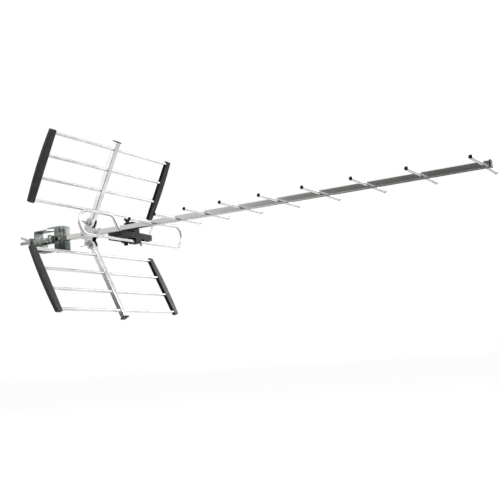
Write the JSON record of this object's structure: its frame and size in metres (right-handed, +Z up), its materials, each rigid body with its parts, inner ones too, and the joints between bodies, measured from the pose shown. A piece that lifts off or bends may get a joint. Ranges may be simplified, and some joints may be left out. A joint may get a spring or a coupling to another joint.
{
  "type": "tv antenna",
  "caption": "Outdoor aerial: cross rods along a square boom, a looped dipole on a housing, hinged reflector panels and a toothed clamp for an upright pole.",
  "frame": {"origin": "on the axis of the clamped mast, at the height of the boom's middle", "axes": "+X along the boom from the clamp to the front tip, +Y to the far side, +Z up along the mast"},
  "size_m": [1.1674, 0.435, 0.425],
  "materials": {
    "boom_tube": "polished",
    "rod_tube": "satin",
    "black_plastic": "moulded",
    "strip_plastic": "moulded",
    "hub_metal": "satin",
    "plated_steel": "zinc plated",
    "gland_rubber": "matte",
    "circuit_board": "lacquered",
    "terminal_brass": "bright"
  },
  "bodies": {
    "boom_frame": {"balun_board": "circuit_board", "boom": "boom_tube", "boom_rear_plug": "black_plastic", "boom_strap": "black_plastic", "boom_tip_cap": "black_plastic", "cable_gland": "gland_rubber", "cross_bolt": "plated_steel", "cross_nut": "plated_steel", "dipole_housing": "black_plastic", "dipole_loop": "rod_tube", "director_1": "rod_tube", "director_2": "rod_tube", "director_3": "rod_tube", "director_4": "rod_tube", "director_5": "rod_tube", "director_6": "rod_tube", "director_7": "rod_tube", "director_8": "rod_tube", "director_9": "rod_tube", "director_plugs": "black_plastic", "far_clamp_bolt": "plated_steel", "housing_lid": "black_plastic", "hub_rivets": "plated_steel", "keeper_screw": "plated_steel", "lid_screws": "plated_steel", "lower_pivot_bolt": "plated_steel", "mast_bracket": "plated_steel", "near_clamp_bolt": "plated_steel", "pivot_washers": "plated_steel", "reflector_hub": "hub_metal", "rod_keeper": "black_plastic", "strap_screw": "black_plastic", "terminal_clips": "terminal_brass", "upper_pivot_bolt": "plated_steel"},
    "upper_panel": {"upper_spine": "rod_tube", "upper_spine_cap": "black_plastic", "upper_far_strip": "strip_plastic", "upper_near_strip": "strip_plastic", "upper_rod_1": "rod_tube", "upper_rod_2": "rod_tube", "upper_rod_3": "rod_tube", "upper_rod_4": "rod_tube"},
    "lower_panel": {"lower_spine": "rod_tube", "lower_spine_cap": "black_plastic", "lower_far_strip": "strip_plastic", "lower_near_strip": "strip_plastic", "lower_rod_1": "rod_tube", "lower_rod_2": "rod_tube", "lower_rod_3": "rod_tube", "lower_rod_4": "rod_tube"},
    "clamp_jaw": {"mast_jaw": "plated_steel", "jaw_washers": "plated_steel"},
    "near_clamp_nut": {"near_clamp_wing_nut": "plated_steel"},
    "far_clamp_nut": {"far_clamp_wing_nut": "plated_steel"},
    "upper_lock_nut": {"upper_pivot_wing_nut": "plated_steel"},
    "lower_lock_nut": {"lower_pivot_wing_nut": "plated_steel"}
  },
  "joints": [
    {"name": "upper_panel_fold", "type": "hinge", "parent": "boom_frame", "child": "upper_panel", "pos_m": [0.13041, 0, 0.0251], "axis": [0, 1, 0], "range_deg": [0, 60]},
    {"name": "lower_panel_fold", "type": "hinge", "parent": "boom_frame", "child": "lower_panel", "pos_m": [0.13041, 0, -0.0251], "axis": [0, -1, 0], "range_deg": [0, 45]},
    {"name": "jaw_slide", "type": "slide", "parent": "boom_frame", "child": "clamp_jaw", "axis": [1, 0, 0], "range_m": [-0.0215, 0.006]},
    {"name": "near_clamp_nut_turn", "type": "hinge", "parent": "clamp_jaw", "child": "near_clamp_nut", "pos_m": [-0.05, -0.022, 0], "axis": [1, 0, 0], "range_deg": [-6193, 1729]},
    {"name": "far_clamp_nut_turn", "type": "hinge", "parent": "clamp_jaw", "child": "far_clamp_nut", "pos_m": [-0.05, 0.022, 0], "axis": [1, 0, 0], "range_deg": [-6193, 1729]},
    {"name": "upper_lock_nut_turn", "type": "hinge", "parent": "boom_frame", "child": "upper_lock_nut", "pos_m": [0.13041, -0.012, 0.0251], "axis": [0, 1, 0], "continuous": true},
    {"name": "lower_lock_nut_turn", "type": "hinge", "parent": "boom_frame", "child": "lower_lock_nut", "pos_m": [0.13041, -0.012, -0.0251], "axis": [0, 1, 0], "continuous": true}
  ],
  "couplings": [
    {"joint": "near_clamp_nut_turn", "follows": "jaw_slide", "rad_per_m": 5026.5},
    {"joint": "far_clamp_nut_turn", "follows": "jaw_slide", "rad_per_m": 5026.5}
  ]
}
